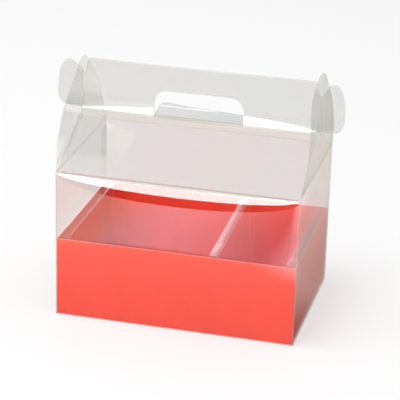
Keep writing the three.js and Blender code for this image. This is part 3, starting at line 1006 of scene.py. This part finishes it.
paperTint = {
    "poolSide": (-0.15, -0.09), "poolLeft": (1.25, 0.95, 0.78, 1), "pool": (0.94, 0.96, 1.07, 1),
    "plain": (1, 1, 0.94, 1),
    "band": (0.98, 1.06, 0.98, 1), "bandNear": (0.315, 0.335), "bandFar": (0.50, 0.44),
    "bandRight": (0.100, 0.080),
    "right": (1.40, 0.99, 0.95, 1), "rightFrom": (0.138, 0.158), "rightFade": (0.7, 0.26, 0.31),
    "rightFar": (0.50, 0.42),
}
backdrop = {
    "light": 1.7, "side": 0.3, "from": (0.0, 1.2), "top": (2.3, 1.7),
    "left": (-1.15, -1.00), "right": (-0.66, -0.84),
    "cool": (0.98, 0.97, 1.06, 1), "warm": (2.6, 1.0, 1.0, 1), "warmTop": (1.9, 1.7),
    "warmPatches": (((-0.80, -0.68), (-0.40, -0.52)), ((-1.05, -1.15), (-1.75, -1.55))),
    "meridians": 33, "circles": 12, "lowest": -0.1,
}
# A long lamp high behind, seen only in the curl of the finger flap
highLamp = {"light": 2.5, "from": (0.4, 0.6), "low": (3.15, 3.25), "high": (3.55, 3.45)}
brightCard = {"light": 9.0, "away": 0.80, "left": -1.3, "right": 0.9, "top": 0.29, "fade": (0.19, 0.0)}


# A mesh that belongs to the studio alone
def addStage(name, points, faces, material):
    mesh = bpy.data.meshes.new(name)
    mesh.from_pydata(points, [], faces)
    mesh.materials.append(material)
    made = bpy.data.objects.new(name, mesh)
    scene.collection.objects.link(made)
    return made


def onlyInGloss(made):
    for kind in ("camera", "diffuse", "transmission", "shadow", "volume_scatter"):
        setattr(made, "visible_" + kind, False)


# The corners of a level square round the middle
def levelSquare(far, z):
    return [(-far, -far, z), (far, -far, z), (far, far, z), (-far, far, z)]


def glowing(name, strength, shade=lambda tree: white):
    made = bpy.data.materials.new(name)
    tree = Tree(made)
    tree.output(tree.node("Emission", {}, {"Color": shade(tree), "Strength": strength(tree)}))
    return made


# In front of the box lie the lit paper, its brighter pool, which is a bell across x, and a smaller patch that
# the right end of the front wall mirrors. Behind lies a pale table with a dimmer band across it, and at the
# right the box's shadow, with three steps up out of it
def paperLight(tree):
    x, y = tree.axis("X"), tree.axis("Y")
    pool, corner, table = paper["pool"], paper["corner"], paper["table"]
    band, shadow = paper["band"], paper["shadow"]
    on = y.absolute().step(*paper["edge"])
    side = (x - pool["middle"]) / pool["half"]
    bright = (side * side * -1).exponent() * y.step(*pool["near"])
    patch = (x + corner["slant"] * (y - corner["from"])).step(*corner["across"])
    bright = bright + corner["share"] * patch * y.step(*corner["near"]) * y.step(*corner["far"])
    front = roomLight + (paper["light"] - roomLight) * on + pool["light"] * bright * on

    dim = 1 - band["dim"] * y.step(*band["dimFrom"])
    plain = y.step(*band["before"]) + y.step(*band["beyond"]) * x.step(*band["beyondLeft"]) * dim
    banded = band["light"] * (1 - band["rightDim"] * x.step(*band["rightFrom"]) * y.step(*band["rightUpTo"]))
    behind = banded + (table["light"] - banded) * plain

    dark = shadow["light"]
    for part, along in (("behind", y), ("right", x), ("farRight", x)):
        rise, ends = shadow[part]
        dark = dark + rise * along.step(*ends)
    dark = dark + (shadow["endShare"] * band["light"] - dark) * y.step(*shadow["end"])
    beside = x.step(*shadow["from"])
    behind = behind + (dark - behind) * beside
    far = y.step(*table["from"])
    far = far + (1 - far) * beside * y.step(*shadow["near"])
    return front + (behind - front) * far


def paperShade(tree):
    x, y = tree.axis("X"), tree.axis("Y")
    tint = paperTint
    pool = tree.blend(x.step(*tint["poolSide"]), tint["poolLeft"], tint["pool"])
    front = tree.blend(y.step(*paper["pool"]["near"]), tint["plain"], pool)
    inBand = y.step(*tint["bandNear"]) * y.step(*tint["bandFar"]) * x.step(*tint["bandRight"])
    fade, *fadeFrom = tint["rightFade"]
    atRight = x.step(*tint["rightFrom"]) * (1 - fade * y.step(*fadeFrom)) * y.step(*tint["rightFar"])
    return tree.blend(atRight, tree.blend(inBand, front, tint["band"]), tint["right"])


# A dark room with a pale backdrop behind the box, brighter in one upright band, and the high lamp
def domeLight(tree):
    x, y, z = tree.axis("X"), tree.axis("Y"), tree.axis("Z")
    middle = x.step(*backdrop["left"]) * x.step(*backdrop["right"])
    pale = backdrop["side"] + (backdrop["light"] - backdrop["side"]) * middle
    room = roomLight + (pale - roomLight) * (y.step(*backdrop["from"]) * z.step(*backdrop["top"]))
    lamp = y.step(*highLamp["from"]) * z.step(*highLamp["low"]) * z.step(*highLamp["high"])
    return room + highLamp["light"] * lamp


# Cool light, with two warm patches of backdrop that the insert's ridges mirror
def domeShade(tree):
    x, z = tree.axis("X"), tree.axis("Z")
    first, second = (x.step(*start) * x.step(*end) for start, end in backdrop["warmPatches"])
    return tree.blend((first + second) * z.step(*backdrop["warmTop"]), backdrop["cool"], backdrop["warm"])


def cardLight(tree):
    return brightCard["light"] * tree.axis("X").step(*brightCard["fade"])


# The room as the gloss of the sheets shows it: the paper, a half sphere round it all, and one long bright
# card low in front
def addRoom():
    oneFace = [(0, 1, 2, 3)]
    onlyInGloss(addStage("glossFloor", levelSquare(roomFar, paper["height"]), oneFace,
                         glowing("glossPaper", paperLight, paperShade)))

    longs = np.linspace(0, 2 * np.pi, backdrop["meridians"])[:-1]
    longs, lats = np.meshgrid(longs, np.linspace(backdrop["lowest"], np.pi / 2, backdrop["circles"]))
    points = np.stack([np.cos(longs) * np.cos(lats), np.sin(longs) * np.cos(lats), np.sin(lats)], -1)
    at = np.arange(longs.size).reshape(longs.shape)
    after = np.roll(at, -1, 1)
    faces = np.stack([at[:-1], at[1:], after[1:], after[:-1]], -1).reshape(-1, 4)
    onlyInGloss(addStage("glossRoom", (roomFar * points).reshape(-1, 3).tolist(), faces.tolist(),
                         glowing("glossRoom", domeLight, domeShade)))

    y, top, left, right = -brightCard["away"], brightCard["top"], brightCard["left"], brightCard["right"]
    onlyInGloss(addStage("brightCard", [(left, y, 0.0), (right, y, 0.0), (right, y, top), (left, y, top)],
                         oneFace, glowing("brightCard", cardLight)))


ground = {"far": 30.0, "height": -0.001, "lit": 0.315, "glow": 0.53, "plain": (0.8, 0.8, 0.8, 1)}


# The floor keeps the box's shadow: part of what the camera sees of it is lit and the rest glows
def addFloor():
    made = bpy.data.materials.new("whiteFloor")
    tree = Tree(made)
    lit = tree.node("BsdfDiffuse", {}, {"Color": (ground["lit"],) * 3 + (1,)})
    glow = tree.node("Emission", {}, {"Color": white, "Strength": ground["glow"]})
    shown = tree.node("AddShader", {}, {0: lit, 1: glow})
    plain = tree.node("BsdfDiffuse", {}, {"Color": ground["plain"]})
    tree.output(tree.mixShaders(tree.seen(), plain, shown))
    floor = addStage("floor", levelSquare(ground["far"], ground["height"]), [(0, 1, 2, 3)], made)
    floor.visible_glossy = False


fill = {"left": 1.0, "right": 1.05, "across": (-0.2, 0.8)}


# White wherever the camera sees it, and for the rest an even fill that is a little stronger from the right
def addWorld():
    world = bpy.data.worlds.new("studio")
    scene.world = world
    tree = Tree(world)
    power = fill["left"] + (fill["right"] - fill["left"]) * tree.axis("X", "Generated").step(*fill["across"])
    even, shown = (tree.node("Background", {}, {"Color": white, "Strength": strength})
                   for strength in (power, 1.0))
    tree.output(tree.mixShaders(tree.seen(), even, shown), "OutputWorld")


lamps = {
    "softKey": {"spot": (-0.6, -0.7, 2.0), "target": (0, 0, 0.08), "size": (1.6, 1.2), "power": 28.0},
    "softFront": {"spot": (-0.5, -2.2, 0.35), "target": (0, 0, 0.04), "size": (1.6, 0.6), "power": 4.5},
}


def addLamp(name, spot, target, size, power):
    data = bpy.data.lights.new(name, "AREA")
    data.shape = "RECTANGLE"
    data.size, data.size_y = size
    data.energy = power
    lamp = bpy.data.objects.new(name, data)
    lamp.location = spot
    lamp.rotation_euler = (Vector(target) - Vector(spot)).to_track_quat("-Z", "Y").to_euler()
    lamp.visible_glossy = False
    scene.collection.objects.link(lamp)


view = {
    "yaw": math.radians(13.81), "pitch": math.radians(21.95), "roll": math.radians(1.68),
    "spot": (0.3758, -1.5152, 0.7255), "focal": 1843.7, "picture": 400.0, "sensor": 36.0,
}


# The camera looks along its yaw and pitch, then rolls a little about that line
def addCamera():
    yaw, pitch, roll = view["yaw"], view["pitch"], view["roll"]
    ahead = Vector((-math.sin(yaw) * math.cos(pitch), math.cos(yaw) * math.cos(pitch), -math.sin(pitch)))
    side = Vector((math.cos(yaw), math.sin(yaw), 0))
    up = side.cross(ahead)
    right = math.cos(roll) * side + math.sin(roll) * up
    top = -math.sin(roll) * side + math.cos(roll) * up
    data = bpy.data.cameras.new("camera")
    data.sensor_width = view["sensor"]
    data.lens = view["focal"] / view["picture"] * view["sensor"]
    camera = bpy.data.objects.new("camera", data)
    turn = Matrix((right, top, -ahead)).transposed().to_4x4()
    camera.matrix_world = Matrix.Translation(view["spot"]) @ turn
    scene.collection.objects.link(camera)
    scene.camera = camera


addFloor()
addRoom()
addWorld()
for name, lamp in lamps.items():
    addLamp(name, **lamp)
addCamera()
scene.view_settings.view_transform = "Standard"
scene.cycles.transparent_max_bounces = 40
scene.cycles.max_bounces = 14
scene.cycles.glossy_bounces = 6
print("studio made")
